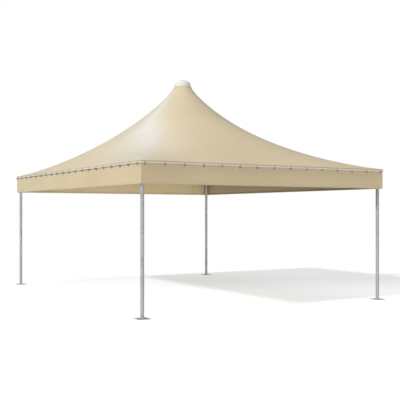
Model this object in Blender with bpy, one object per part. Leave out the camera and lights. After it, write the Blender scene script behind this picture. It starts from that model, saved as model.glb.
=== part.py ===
"""High-peak marquee tent on four posts, 5 m by 6 m over the valances. Metres, +Z up.

The origin is on the ground under the mast. +X runs along the 5 m sides and +Y along the 6 m sides.
Tubes and beams carry the eaves, four cables from the post heads carry a mast that stands clear of the
ground, and a roof of eight gores runs from the eaves to the plate on the mast's head.
"""
import math

import bmesh
import bpy
import numpy as np
from mathutils import Matrix, Vector

# Overall size
WIDTH = 5.0  # along X, over the outer faces of the valances
LENGTH = 6.0  # along Y, over the outer faces of the valances
EAVE_Z = 2.390  # edge of the roof sheet
HEM_Z = 2.032  # lower edge of the valances
RAIL_Z = 2.353  # middle of the rails
TOP_RING_Z = 4.117  # upper edge of the roof sheet
TOP_RING_R = 0.178
CAP_HEIGHT = 0.157

# Sheet and clearance
SHEET = 0.006  # drawn thicker than the real 0.65 mm
CLEAR = 0.0003  # between pieces that touch

# Roof form: how fast each share of the eave outline fades from the eave to the top
FADE_SIZE = 2.864
FADE_OBLONG = 5.253
FADE_CORNER = 2.503  # for each harmonic
LIFT = (0.696, -0.095, -0.109)  # how far the roof bulges above an even climb
SPOKES_PER_SIDE = 12
ROOF_RINGS = 18
GORES = (  # the panels in turn from the front left corner: the side each hangs over, and which half of it
    "front_left", "front_right", "right_front", "right_back",
    "back_right", "back_left", "left_back", "left_front",
)

# Tube frame
TUBE_R = 0.03015
TUBE_WALL = 0.0029
POST_INSET = 0.069  # from the outer face of a valance to a post's axis
BEAM_Z = 2.333
SLEEVE_R = 0.038
SLEEVE_HALF = 0.045  # half the height of the sleeve on a post head
SOCKET_R = 0.036
SOCKET_REACH = 0.098  # from a post's axis to the mouth of a beam socket
LID = 0.004

# Base plate
PLATE_SIDE = 0.200
PLATE_THICK = 0.008
PEG_HOLE_R = 0.009
PEG_OFFSET = 0.070  # of a peg hole from the post's axis, along X and along Y

# Rail outside the valances, and the arm that holds its corner
RAIL_R = 0.010
PAD = 0.026
ARM_THICK = 0.012
ARM_HEIGHT = 0.028

# Lugs, pins, turnbuckles and cables
LUG_THICK = 0.008
LUG_HEIGHT = 0.026
LUG_TIP = 0.013  # from the hole to the lug's end
LUG_HOLE_AT = 0.115  # from a post's axis
LUG_Z = 2.318
PIN_R = 0.005
PIN_STUB = 0.003  # of a pin beyond the fork's cheek
FORK_SIDE = 0.024
FORK_BACK = 0.012
FORK_FRONT = 0.026
FORK_SLOT_END = 0.016
SHANK_START = 0.020  # inside the fork's solid end
SHANK_R = 0.006
BARREL_R = 0.012
BARREL_START = 0.060
BARREL_END = 0.170
TURNBUCKLE_END = 0.200
FERRULE_R = 0.007
FERRULE_LENGTH = 0.050
CABLE_R = 0.004

# Mast
MAST_FOOT_Z = 2.150
FOOT_FLOOR = 0.008
FOOT_HEIGHT = 0.080
FOOT_LUG_Z = 2.172
FOOT_LUG_HOLE_AT = 0.068
HEAD_PLATE = 0.008
HEAD_RIM_DROP = 0.004
HEAD_SLEEVE = 0.100
HEAD_CONE = 0.030  # of the weld between the sleeve and the plate
HEAD_R = 0.1715

# Cap
CAP_WALL = 0.004
CAP_FULLNESS = 2.3  # 2 would be an ellipse, and more is squarer at the shoulder
CAP_POINTS = 9  # from the rim to the crown

TUBE_SIDES = 24
ROD_SIDES = 12
HOLE_SIDES = 12
SHARP_ANGLE = math.radians(35)
MERGE_DISTANCE = 1e-6

HALF_X = WIDTH / 2
HALF_Y = LENGTH / 2
POST_X = HALF_X - POST_INSET
POST_Y = HALF_Y - POST_INSET
DIAGONAL = math.hypot(POST_X, POST_Y)
CORNERS = {
    "front_left": (-1, -1),
    "front_right": (1, -1),
    "back_left": (-1, 1),
    "back_right": (1, 1),
}


def clear_scene():
    for obj in list(bpy.data.objects):
        bpy.data.objects.remove(obj, do_unlink=True)


def make_material(name, colour, roughness, metallic):
    material = bpy.data.materials.new(name)
    material.use_nodes = True
    shader = material.node_tree.nodes["Principled BSDF"]
    shader.inputs["Base Color"].default_value = (*colour, 1.0)
    shader.inputs["Roughness"].default_value = roughness
    shader.inputs["Metallic"].default_value = metallic
    return material


def add_object(name, bm, material):
    """Turn a bmesh into a named object, shaded smooth with its sharp edges kept."""
    bmesh.ops.recalc_face_normals(bm, faces=bm.faces)
    mesh = bpy.data.meshes.new(name)
    bm.to_mesh(mesh)
    bm.free()
    mesh.materials.append(material)
    mesh.shade_smooth()
    mesh.set_sharp_from_angle(angle=SHARP_ANGLE)
    obj = bpy.data.objects.new(name, mesh)
    bpy.context.scene.collection.objects.link(obj)
    return obj


def turned(profile, sides, closed=False):
    """Spin a profile of (radius, height) points about Z. A closed profile leaves a bore."""
    bm = bmesh.new()
    verts = [bm.verts.new((r, 0.0, h)) for r, h in profile]
    edges = [bm.edges.new(pair) for pair in zip(verts, verts[1:])]
    if closed:
        edges.append(bm.edges.new((verts[-1], verts[0])))
    bmesh.ops.spin(bm, geom=verts + edges, axis=(0, 0, 1), cent=(0, 0, 0), angle=math.tau,
                   steps=sides, use_merge=True)
    bmesh.ops.remove_doubles(bm, verts=bm.verts, dist=MERGE_DISTANCE)
    return bm


def rod(radius, low, high, sides=TUBE_SIDES):
    return turned([(0, low), (radius, low), (radius, high), (0, high)], sides)


def tube(radius, wall, low, high):
    inner = radius - wall
    return turned([(inner, low), (radius, low), (radius, high), (inner, high)], TUBE_SIDES, closed=True)


def block(low, high):
    """A box between two corners."""
    bm = bmesh.new()
    low, high = Vector(low), Vector(high)
    size = high - low
    place = Matrix.Translation((low + high) / 2) @ Matrix.Diagonal((*size, 1))
    bmesh.ops.create_cube(bm, size=1, matrix=place)
    return bm


def moved(bm, matrix):
    bmesh.ops.transform(bm, matrix=matrix, verts=bm.verts)
    return bm


def along(bm, axis):
    """Lay a shape built along Z so that it runs along +X or +Y."""
    turns = {"X": Matrix.Rotation(math.pi / 2, 4, "Y"), "Y": Matrix.Rotation(-math.pi / 2, 4, "X")}
    return moved(bm, turns[axis])


def combined(name, solids, cuts, material):
    """Join solids into one body and cut others out of it, then leave only the finished object."""
    result = add_object(name, solids[0], material)
    helpers = []
    for operation, shapes in (("UNION", solids[1:]), ("DIFFERENCE", cuts)):
        for shape in shapes:
            helper = add_object(f"{name}_helper", shape, material)
            helpers.append(helper)
            modifier = result.modifiers.new(operation.lower(), "BOOLEAN")
            modifier.operation = operation
            modifier.solver = "EXACT"
            modifier.object = helper
    evaluated = result.evaluated_get(bpy.context.evaluated_depsgraph_get())
    finished = bpy.data.meshes.new_from_object(evaluated)
    result.modifiers.clear()
    result.data = finished
    for helper in helpers:
        bpy.data.objects.remove(helper, do_unlink=True)
    finished.shade_smooth()
    finished.set_sharp_from_angle(angle=SHARP_ANGLE)
    return result


def mirrored(name, source, sign_x, sign_y):
    """Copy an object's mesh, flipped across X and Y by the two signs."""
    bm = bmesh.new()
    bm.from_mesh(source.data)
    moved(bm, Matrix.Diagonal((sign_x, sign_y, 1, 1)))
    return add_object(name, bm, source.data.materials[0])


def build_post(name, x, y, material):
    top = BEAM_Z + SLEEVE_HALF - LID - CLEAR
    post = add_object(f"post_{name}", tube(TUBE_R, TUBE_WALL, PLATE_THICK + CLEAR, top), material)
    post.location = (x, y, 0)


def build_base_plate(name, x, y, material):
    """A square plate with a peg hole at two opposite corners, the ones nearest the tent's middle and edge."""
    half = PLATE_SIDE / 2
    holes = []
    for side in (-1, 1):
        offset = Vector((math.copysign(PEG_OFFSET, x), math.copysign(PEG_OFFSET, y), 0)) * side
        hole = rod(PEG_HOLE_R, -PLATE_THICK, 2 * PLATE_THICK, HOLE_SIDES)
        holes.append(moved(hole, Matrix.Translation(offset)))
    plate = block((-half, -half, 0), (half, half, PLATE_THICK))
    obj = combined(f"base_plate_{name}", [plate], holes, material)
    obj.location = (x, y, 0)


def build_beams(material):
    """Eave beams between the sockets of the corner fittings."""
    end = SLEEVE_R + CLEAR
    for side, sign in (("front", -1), ("back", 1)):
        reach = POST_X - end
        beam = add_object(f"eave_beam_{side}", along(tube(TUBE_R, TUBE_WALL, -reach, reach), "X"), material)
        beam.location = (0, sign * POST_Y, BEAM_Z)
    for side, sign in (("left", -1), ("right", 1)):
        reach = POST_Y - end
        beam = add_object(f"eave_beam_{side}", along(tube(TUBE_R, TUBE_WALL, -reach, reach), "Y"), material)
        beam.location = (sign * POST_X, 0, BEAM_Z)


def corner_fitting_shapes():
    """The solids and cuts of the front left fitting, about the post's axis at beam height.

    A sleeve over the post head, a socket for each beam, a lug towards the mast for the turnbuckle, and
    an arm with a pad that holds the corner of the sheet out against the rail.
    """
    bore = TUBE_R + CLEAR
    start = SLEEVE_R
    depth = SLEEVE_HALF * 2
    inward = math.atan2(POST_Y, POST_X)
    lug_z = LUG_Z - BEAM_Z
    pad_z = RAIL_Z - BEAM_Z
    pad_out = POST_INSET - SHEET - CLEAR
    to_lug = Matrix.Rotation(inward, 4, "Z")
    to_arm = Matrix.Rotation(math.radians(225), 4, "Z")
    lug = block((0, -LUG_THICK / 2, lug_z - LUG_HEIGHT / 2),
                (LUG_HOLE_AT + LUG_TIP, LUG_THICK / 2, lug_z + LUG_HEIGHT / 2))
    arm = block((0, -ARM_THICK / 2, pad_z - ARM_HEIGHT / 2),
                ((pad_out - PAD / 2) * math.sqrt(2), ARM_THICK / 2, pad_z + ARM_HEIGHT / 2))
    pad = block((-pad_out, -pad_out, pad_z - PAD / 2), (PAD - pad_out, PAD - pad_out, pad_z + PAD / 2))
    lug_hole = moved(rod(PIN_R + CLEAR, -LUG_THICK, LUG_THICK, HOLE_SIDES), Matrix.Rotation(math.pi / 2, 4, "X"))
    solids = [
        rod(SLEEVE_R, -SLEEVE_HALF, SLEEVE_HALF),
        along(rod(SOCKET_R, 0, SOCKET_REACH), "X"),
        along(rod(SOCKET_R, 0, SOCKET_REACH), "Y"),
        moved(lug, to_lug),
        moved(arm, to_arm),
        pad,
    ]
    cuts = [
        rod(bore, -depth, SLEEVE_HALF - LID),
        along(rod(bore, start, 2 * SOCKET_REACH), "X"),
        along(rod(bore, start, 2 * SOCKET_REACH), "Y"),
        moved(lug_hole, to_lug @ Matrix.Translation((LUG_HOLE_AT, 0, lug_z))),
    ]
    return solids, cuts


def build_corner_fittings(material):
    solids, cuts = corner_fitting_shapes()
    first = combined("corner_fitting_front_left", solids, cuts, material)
    first.location = (-POST_X, -POST_Y, BEAM_Z)
    for name, (sign_x, sign_y) in CORNERS.items():
        if name == "front_left":
            continue
        fitting = mirrored(f"corner_fitting_{name}", first, -sign_x, -sign_y)
        fitting.location = (sign_x * POST_X, sign_y * POST_Y, BEAM_Z)


def fork_shapes():
    """A fork about its pin at the origin, opening towards -X, and the slot cut out of it."""
    half = FORK_SIDE / 2
    slot = LUG_THICK / 2 + CLEAR
    body = block((-FORK_BACK, -half, -half), (FORK_FRONT, half, half))
    cut = block((-2 * FORK_BACK, -slot, -FORK_SIDE), (FORK_SLOT_END, slot, FORK_SIDE))
    pin = moved(rod(PIN_R, -half - PIN_STUB, half + PIN_STUB, HOLE_SIDES), Matrix.Rotation(math.pi / 2, 4, "X"))
    return body, cut, pin


def build_forked(name, profile, material):
    """A turned shank along +X with a fork and its pin at the start."""
    body, cut, pin = fork_shapes()
    shank = along(turned(profile, ROD_SIDES), "X")
    head = combined(f"{name}_head", [body, shank], [cut], material)
    bm = bmesh.new()
    bm.from_mesh(head.data)
    bpy.data.objects.remove(head, do_unlink=True)
    return combined(name, [bm, pin], [], material)


def build_stays(material):
    """Turnbuckle and cable on each diagonal, from the post head down to the mast's foot."""
    run = DIAGONAL - LUG_HOLE_AT - FOOT_LUG_HOLE_AT
    drop = LUG_Z - FOOT_LUG_Z
    length = math.hypot(run, drop)
    tilt = math.atan2(drop, run)
    buckle_profile = [
        (0, SHANK_START), (SHANK_R, SHANK_START), (SHANK_R, BARREL_START),
        (BARREL_R, BARREL_START), (BARREL_R, BARREL_END), (SHANK_R, BARREL_END),
        (SHANK_R, TURNBUCKLE_END), (0, TURNBUCKLE_END),
    ]
    cable_end = length - TURNBUCKLE_END - CLEAR
    cable_profile = [
        (0, SHANK_START), (FERRULE_R, SHANK_START),
        (FERRULE_R, FORK_FRONT + FERRULE_LENGTH), (CABLE_R, FORK_FRONT + FERRULE_LENGTH),
        (CABLE_R, cable_end - FERRULE_LENGTH), (FERRULE_R, cable_end - FERRULE_LENGTH),
        (FERRULE_R, cable_end), (0, cable_end),
    ]
    for name, (sign_x, sign_y) in CORNERS.items():
        outward = math.atan2(sign_y * POST_Y, sign_x * POST_X)
        to_outer_pin = DIAGONAL - LUG_HOLE_AT
        turnbuckle = build_forked(f"turnbuckle_{name}", buckle_profile, material)
        turnbuckle.location = (to_outer_pin * math.cos(outward), to_outer_pin * math.sin(outward), LUG_Z)
        turnbuckle.rotation_euler = (0, tilt, outward + math.pi)
        cable = build_forked(f"cable_{name}", cable_profile, material)
        cable.location = (FOOT_LUG_HOLE_AT * math.cos(outward), FOOT_LUG_HOLE_AT * math.sin(outward), FOOT_LUG_Z)
        cable.rotation_euler = (0, -tilt, outward)


def build_mast(material):
    """The mast stands in a foot with four lugs, and carries a dished plate that the sheet's top is drawn over."""
    bore = TUBE_R + CLEAR
    floor_z = MAST_FOOT_Z + FOOT_FLOOR
    plate_under = TOP_RING_Z - HEAD_PLATE
    mast = tube(TUBE_R, TUBE_WALL, floor_z + CLEAR, plate_under - CLEAR)
    add_object("mast", mast, material)

    solids = [rod(SLEEVE_R, MAST_FOOT_Z, MAST_FOOT_Z + FOOT_HEIGHT)]
    cuts = [rod(bore, floor_z, MAST_FOOT_Z + 2 * FOOT_HEIGHT)]
    for sign_x, sign_y in CORNERS.values():
        outward = Matrix.Rotation(math.atan2(sign_y * POST_Y, sign_x * POST_X), 4, "Z")
        lug = block((bore + LID, -LUG_THICK / 2, FOOT_LUG_Z - LUG_HEIGHT / 2),
                    (FOOT_LUG_HOLE_AT + LUG_TIP, LUG_THICK / 2, FOOT_LUG_Z + LUG_HEIGHT / 2))
        hole = moved(rod(PIN_R + CLEAR, -LUG_THICK, LUG_THICK, HOLE_SIDES), Matrix.Rotation(math.pi / 2, 4, "X"))
        solids.append(moved(lug, outward))
        cuts.append(moved(hole, outward @ Matrix.Translation((FOOT_LUG_HOLE_AT, 0, FOOT_LUG_Z))))
    combined("mast_foot", solids, cuts, material)

    sleeve_z = TOP_RING_Z - HEAD_SLEEVE
    profile = [
        (0, TOP_RING_Z), (HEAD_R, TOP_RING_Z), (HEAD_R, plate_under - HEAD_RIM_DROP),
        (HEAD_R - HEAD_PLATE, plate_under - HEAD_RIM_DROP), (HEAD_R - 2 * HEAD_PLATE, plate_under),
        (SLEEVE_R + HEAD_CONE, plate_under), (SLEEVE_R, plate_under - HEAD_CONE),
        (SLEEVE_R, sleeve_z), (bore, sleeve_z), (bore, plate_under), (0, plate_under),
    ]
    add_object("mast_head", turned(profile, 2 * TUBE_SIDES), material)


def build_cap(material):
    """A domed shell, open below, whose outline is a slightly squared ellipse."""
    base = TOP_RING_Z + CLEAR
    quarter = np.linspace(0, math.pi / 2, CAP_POINTS)

    def dome(radius, height):
        r = radius * np.cos(quarter) ** (2 / CAP_FULLNESS)
        z = base + height * np.sin(quarter) ** (2 / CAP_FULLNESS)
        r[-1] = 0
        return list(zip(r.tolist(), z.tolist()))

    outer = dome(TOP_RING_R, CAP_HEIGHT)
    inner = dome(TOP_RING_R - CAP_WALL, CAP_HEIGHT - CAP_WALL)
    add_object("cap", turned(outer[::-1] + inner, 2 * TUBE_SIDES), material)


def roof_points():
    """Points of the roof's outer face, on rings from the mast's head down to the eave.

    The eave outline is an oblong and the top one a circle. Both are written as sums of turning arrows
    (harmonics), and each arrow fades between them as a stretched net does, the sharp ones soonest, so the
    oblong's corners soften into a circle higher up. Height climbs evenly, with a bulge added.
    """
    count = 4 * SPOKES_PER_SIDE
    step = np.arange(SPOKES_PER_SIDE) / SPOKES_PER_SIDE
    run_x = -HALF_X + WIDTH * step
    run_y = -HALF_Y + LENGTH * step
    eave = np.concatenate([run_x - 1j * HALF_Y, HALF_X + 1j * run_y, -run_x + 1j * HALF_Y, -HALF_X - 1j * run_y])
    top = TOP_RING_R * eave / np.abs(eave)
    harmonic = np.fft.fftfreq(count) * count
    fade = FADE_CORNER * np.abs(harmonic)
    fade[harmonic == 1] = FADE_SIZE
    fade[harmonic == -1] = FADE_OBLONG
    fade = np.maximum(fade, 1e-9)

    def share(distance):
        """sinh(fade * distance) / sinh(fade), written so that it never grows large."""
        return np.exp(fade * (distance - 1)) * -np.expm1(-2 * fade * distance) / -np.expm1(-2 * fade)

    down = np.linspace(0, 1, ROOF_RINGS + 1)[:, None]
    ring = np.fft.ifft(share(down) * np.fft.fft(eave) + share(1 - down) * np.fft.fft(top), axis=1)
    middle = 1 - 2 * down
    climb = (1 - down) + down * (1 - down) * (LIFT[0] + LIFT[1] * middle + LIFT[2] * middle**2)
    height = EAVE_Z + (TOP_RING_Z - EAVE_Z) * climb + np.zeros(count)
    return np.stack([ring.real, ring.imag, height], axis=-1)


def roof_skins():
    """Grids of the roof's outer and inner faces: the inner one lies a sheet's thickness in along the normals."""
    outer = roof_points()
    downhill = np.gradient(outer, axis=0)
    sideways = np.roll(outer, -1, axis=1) - np.roll(outer, 1, axis=1)
    normal = np.cross(downhill, sideways)
    normal /= np.linalg.norm(normal, axis=-1, keepdims=True)
    return outer, outer - SHEET * normal


def pulled_in(skin):
    """Draw a panel's two edges in by half a clearance, so that neighbouring panels don't overlap."""
    skin = skin.copy()
    for edge, beside in ((0, 1), (-1, -2)):
        towards = skin[:, beside] - skin[:, edge]
        skin[:, edge] += CLEAR / 2 * towards / np.linalg.norm(towards, axis=-1, keepdims=True)
    return skin


def add_cell(bm, upper, lower, here, after, lean):
    """Two triangles between neighbours of two rows. The diagonal falls from here to after, or else rises."""
    if lean:
        bm.faces.new((upper[here], lower[here], lower[after]))
        bm.faces.new((upper[here], lower[after], upper[after]))
    else:
        bm.faces.new((upper[here], lower[here], upper[after]))
        bm.faces.new((lower[here], lower[after], upper[after]))


def build_roof(material):
    """Eight gores, each half a side wide, that together make one curved sheet.

    A gore is a grid wrapped round its own cross-section: each row runs over the outer face and back over
    the inner one. Strips of faces between the two close it at the top ring and at the eave. The cells are
    twisted, so both faces have their diagonals in the same places, mirrored from gore to gore.
    """
    outer, inner = roof_skins()
    count = outer.shape[1]
    width = SPOKES_PER_SIDE // 2
    for number, name in enumerate(GORES):
        from_hip = number % 2 == 0
        columns = (number * width + np.arange(width + 1)) % count
        rows = np.concatenate([pulled_in(outer[:, columns]), pulled_in(inner[:, columns])[:, ::-1]], axis=1)
        bm = bmesh.new()
        grid = [[bm.verts.new(point) for point in row] for row in rows.tolist()]
        around = len(grid[0])
        for upper, lower in zip(grid, grid[1:]):
            for i in range(around):
                add_cell(bm, upper, lower, i, (i + 1) % around, from_hip == (i < width))
        for row in (grid[0], grid[-1]):
            for i in range(width):
                bm.faces.new((row[i], row[i + 1], row[around - 2 - i], row[around - 1 - i]))
        add_object(f"gore_{name}", bm, material)


def build_valances(material):
    """Flat panels that hang from the roof's edge: front and back full length, left and right between them."""
    top = EAVE_Z - SHEET - CLEAR
    inner_y = HALF_Y - SHEET
    side_end = inner_y - CLEAR
    add_object("valance_front", block((-HALF_X, -HALF_Y, HEM_Z), (HALF_X, -inner_y, top)), material)
    add_object("valance_back", block((-HALF_X, inner_y, HEM_Z), (HALF_X, HALF_Y, top)), material)
    inner_x = HALF_X - SHEET
    add_object("valance_left", block((-HALF_X, -side_end, HEM_Z), (-inner_x, side_end, top)), material)
    add_object("valance_right", block((inner_x, -side_end, HEM_Z), (HALF_X, side_end, top)), material)


def mitred_rod(half_length):
    """A rod along +X whose ends are cut at 45 degrees, longer on its -Y side."""
    bm = along(rod(RAIL_R, -half_length, half_length, ROD_SIDES), "X")
    for vert in bm.verts:
        vert.co.x -= math.copysign(vert.co.y, vert.co.x)
    return bm


def build_rails(material):
    """Round rails outside the valances, mitred to each other at the corners."""
    off = CLEAR + RAIL_R
    joint = CLEAR / 2
    sides = (
        ("front", HALF_X, (0, -HALF_Y - off), 0),
        ("right", HALF_Y, (HALF_X + off, 0), 90),
        ("back", HALF_X, (0, HALF_Y + off), 180),
        ("left", HALF_Y, (-HALF_X - off, 0), 270),
    )
    for name, half, (x, y), turn in sides:
        rail = add_object(f"rail_{name}", mitred_rod(half + off - joint), material)
        rail.location = (x, y, RAIL_Z)
        rail.rotation_euler = (0, 0, math.radians(turn))


def build_tent():
    clear_scene()
    steel = make_material("galvanised_steel", (0.52, 0.53, 0.54), 0.45, 1.0)
    rail = make_material("rail_aluminium", (0.60, 0.59, 0.57), 0.40, 1.0)
    membrane = make_material("coated_membrane", (0.67, 0.57, 0.38), 0.45, 0.0)
    white = make_material("white_cap", (0.78, 0.77, 0.79), 0.35, 0.0)
    for name, (sign_x, sign_y) in CORNERS.items():
        build_base_plate(name, sign_x * POST_X, sign_y * POST_Y, steel)
        build_post(name, sign_x * POST_X, sign_y * POST_Y, steel)
    build_corner_fittings(steel)
    build_beams(steel)
    build_stays(steel)
    build_mast(steel)
    build_roof(membrane)
    build_valances(membrane)
    build_rails(rail)
    build_cap(white)


build_tent()
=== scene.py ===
"""Looks of the marquee tent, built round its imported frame. Metres, +Z up, the front side at -Y.

The roof and the valance are sheets of coated membrane, and the tubes, rails, ropes and ties that hold them
are surfaces worked out with numpy. The plates and fittings keep their solids and get a finish.
"""
import math
from collections import namedtuple
from functools import partial

import bmesh
import bpy
import numpy as np
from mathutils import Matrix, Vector


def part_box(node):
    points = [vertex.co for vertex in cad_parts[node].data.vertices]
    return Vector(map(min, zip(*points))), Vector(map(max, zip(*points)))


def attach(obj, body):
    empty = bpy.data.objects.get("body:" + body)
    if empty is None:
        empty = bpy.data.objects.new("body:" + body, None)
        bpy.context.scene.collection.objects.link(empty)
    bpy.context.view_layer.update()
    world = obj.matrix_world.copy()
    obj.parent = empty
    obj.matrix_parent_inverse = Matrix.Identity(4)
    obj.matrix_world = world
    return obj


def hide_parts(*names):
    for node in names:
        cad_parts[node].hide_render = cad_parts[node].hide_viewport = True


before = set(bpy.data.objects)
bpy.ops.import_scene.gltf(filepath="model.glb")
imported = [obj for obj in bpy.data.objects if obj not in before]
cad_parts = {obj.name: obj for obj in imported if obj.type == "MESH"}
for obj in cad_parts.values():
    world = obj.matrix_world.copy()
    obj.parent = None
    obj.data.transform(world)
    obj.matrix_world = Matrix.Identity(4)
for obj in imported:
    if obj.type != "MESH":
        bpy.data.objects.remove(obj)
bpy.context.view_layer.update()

BODY = "root"
CORNERS = {"front_left": (-1, -1), "front_right": (1, -1), "back_right": (1, 1), "back_left": (-1, 1)}
SIDES = ("front", "right", "back", "left")
GORES = [f"gore_{name}" for name in (
    "front_left", "front_right", "right_front", "right_back",
    "back_right", "back_left", "left_back", "left_front")]
VALANCES = [f"valance_{side}" for side in SIDES]
RAILS = [f"rail_{side}" for side in SIDES]

# Places read from the frame
HALF_X = -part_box("valance_front")[0][0]
HALF_Y = -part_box("valance_front")[0][1]
HEM_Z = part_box("valance_front")[0][2]
RAIL_LOW, RAIL_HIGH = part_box("rail_front")
RAIL_R = (RAIL_HIGH[2] - RAIL_LOW[2]) / 2
RAIL_Z = (RAIL_HIGH[2] + RAIL_LOW[2]) / 2
RAIL_OUT = -RAIL_HIGH[1] - HALF_Y + RAIL_R  # from the outer face of the valance to the rail's middle
TOP_RING_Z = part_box("mast_head")[1][2]
TOP_RING_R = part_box("cap")[1][0]
CAP_TOP_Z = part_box("cap")[1][2]
POST_LOW, POST_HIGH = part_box("post_front_right")
POST_X = (POST_LOW[0] + POST_HIGH[0]) / 2
POST_Y = -(POST_LOW[1] + POST_HIGH[1]) / 2
POST_AWAY = math.hypot(POST_X, POST_Y)  # from the mast's axis
TUBE_R = (POST_HIGH[0] - POST_LOW[0]) / 2
PLATE_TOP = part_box("base_plate_front_right")[1][2]

# Sizes that the solids have too
EAVE_Z = 2.390
TUBE_WALL = 0.0029
FADE_SIZE = 2.864  # how fast the eave's size fades on the way up, and then its oblong and its corners
FADE_OBLONG = 5.253
FADE_CORNER = 2.503
LIFT = (0.696, -0.095, -0.109)  # of the bulge: factors of 1, m and m^2, m being -1 at the eave and 1 on top
CAP_FULLNESS = 2.3
BEAM_Z = 2.333
SLEEVE_R = 0.038
SOCKET_R = 0.036
OUTER_PIN = (0.115, 2.318)  # of a turnbuckle: way in from the post's axis, and height
INNER_PIN = (0.068, 2.172)  # of a cable: way out from the mast's axis, and height
STAY_LENGTH = math.hypot(POST_AWAY - OUTER_PIN[0] - INNER_PIN[0], OUTER_PIN[1] - INNER_PIN[1])
LUG_THICK = 0.008
BARREL_R = 0.012
BARREL_START = 0.060
BARREL_END = 0.170
TURNBUCKLE_END = 0.200
FERRULE_R = 0.007
FERRULE_LENGTH = 0.050
ROPE_R = 0.004

# Membrane
MEMBRANE = 0.0016  # drawn about two and a half times as thick as the real one, so that its edges show
ROOF_RINGS = 100
GORE_COLUMNS = 20  # between the two welds of a gore
HARMONICS = 480  # arrows that turn each way
WELD_HALF = 0.016  # half the width of a welded lap
WELD_RISE = 0.0005
WELD_RAMP = 0.003  # over which a lap rises
EDGE_R = 0.0055  # of the edge cord that the roof's edge is rolled round
EDGE_TURN = math.radians(235)
EDGE_STEPS = 12
COLLAR = ((0.150, 0.0022), (0.173, 0.0020))  # of the sheet over the plate on the mast's head: radius and rise
SNAP = 1e-6  # how far off a side a point may lie and still count as on it
NO_FADE = 1e-9  # for the arrow that stands still: not 0, because it is divided by

# Valance
VALANCE_TOP_DROP = 0.0063
VALANCE_STEPS = 6  # from one tie to the next
VALANCE_ROWS = 12
CORNER_R = 0.014  # of the valance's folded corners
FOLD_STEPS = 6
HEM_DEPTH = 0.032
HEM_R = 0.0021  # of its fold at the bottom
SWAY = 0.0011  # how far the valance wanders in and out of its plane
SWAY_FREE = 0.30  # from a corner to where it wanders freely
SWAY_WAVES = ((31, 1.0, 0.4), (47, 0.6, 2.1), (73, 0.4, 4.4))  # waves round the tent, share, shift
SLACK = 0.0009  # between two ties
SLACK_FADE = 0.035

# Ties: a loop of elastic cord through an eyelet, over the rail, and a ball that it is drawn behind
TIE_COUNT = {"front": 15, "right": 20, "back": 15, "left": 20}
TIE_INSET = 0.073  # from a corner to the first tie
EYELET_Z = 2.3693
EYELET_CELL = 0.0055
EYELET_ROW = 1  # of the valance's rows, from its top: the one that is left open for them
EYELET_R = 0.0088
EYELET_HOLE_R = 0.0054
EYELET_RISE = 0.0014
EYELET_SUNK = 0.0004
BALL_R = 0.0135
BALL_STEPS = 12  # from pole to pole
BALL_OUT = 0.0142
BALL_Z = 2.3290
BALL_COLLAR = ((0, -0.0006), (0.0046, -0.0006), (0.0058, 0.0006))  # where the cord goes in: radius and rise
LOOP_R = 0.0022
LOOP_OVER = 0.0124  # from the rail's middle to the cord's
LOOP_TURN = np.radians([0, 25, 50, 75, 100, 125, 148])  # round the rail, from its top outwards
LOOP_START = np.array([(-0.0035, 0.0), (0.0030, -0.0002)])  # through the eyelet: way out and rise
LOOP_END = np.array([(0.0022, -0.0010), (0.0, -0.0040)])  # into the top of the ball: way out and rise
LOOP_APART = ((0, 2, 6, 9, 10), (0.0023, 0.0036, 0.0042, 0.0028, 0.0024))  # points, half the strands' gap

RAIL_STEPS = 24  # along each side
CAP_STEPS = 40  # from the rim to the top
CAP_LIFT = 0.0024  # the sheet's collar lies under the cap's rim
CAP_BEAD = 0.0045
CAP_BEAD_STRETCH = 1.5  # its width over its height
CAP_BEAD_TURN = np.radians((135, -90))  # from the dome's foot round to the underside
CAP_BEAD_STEPS = 8
CAP_WALL = 0.0030
MERGE = 1e-6  # points closer than this become one
SHARP = math.radians(40)  # an edge that bends more is drawn sharp

# Sides of round things, and of nuts and the heads of bolts
CAP_SIDES = 96
TUBE_SIDES = 64
RAIL_SIDES = 24
CORD_SIDES = 8
RIM_SIDES = 8  # of an eyelet's rolled rim
SMALL_SIDES = 20  # of balls, eyelets, pins and necks
WASHER_SIDES = 24
SHANK_SIDES = 12
HEXAGON = 6
BEAD_SIDES = 10
BEAD_STEPS = 180  # of a weld bead round its post
BAR_SIDES = 16
BARREL_SIDES = 32
ROPE_SIDES = 24  # and of its ferrules

# Fixings
BOLT_R = 0.004
BOLT_HEAD_R = 0.0075  # to its corners
BOLT_HEAD_TOP = 0.0075
WASHER_R = 0.0099
WASHER_THICK = 0.0018
WASHER_BEVEL = (0.0004, 0.0004)
HEAD_BEVELS = ((0.0005, 0.0005), (0.0009, 0.0008))
SHANK = (-0.0040, 0.0020)  # from the washer's seat down, and up into the head
BOLT_TURN = 0.4  # from one bolt's head to the next, as if each was tightened by hand
SOCKET_BOLT = 0.078  # from a post's axis to the bolt of a beam's socket
MAST_BOLT = 0.022  # from the rim of the mast's foot or head to its bolts
MAST_BOLT_ANGLE = 0.3
BEAD_R = 0.0034
BEAD_OUT = 0.0006  # from the post's face to the middle of a weld bead
BEAD_LIFT = 0.0004  # and from the plate
BEAD_RIPPLE = 0.0004
BEAD_RIPPLES = 60

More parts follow.
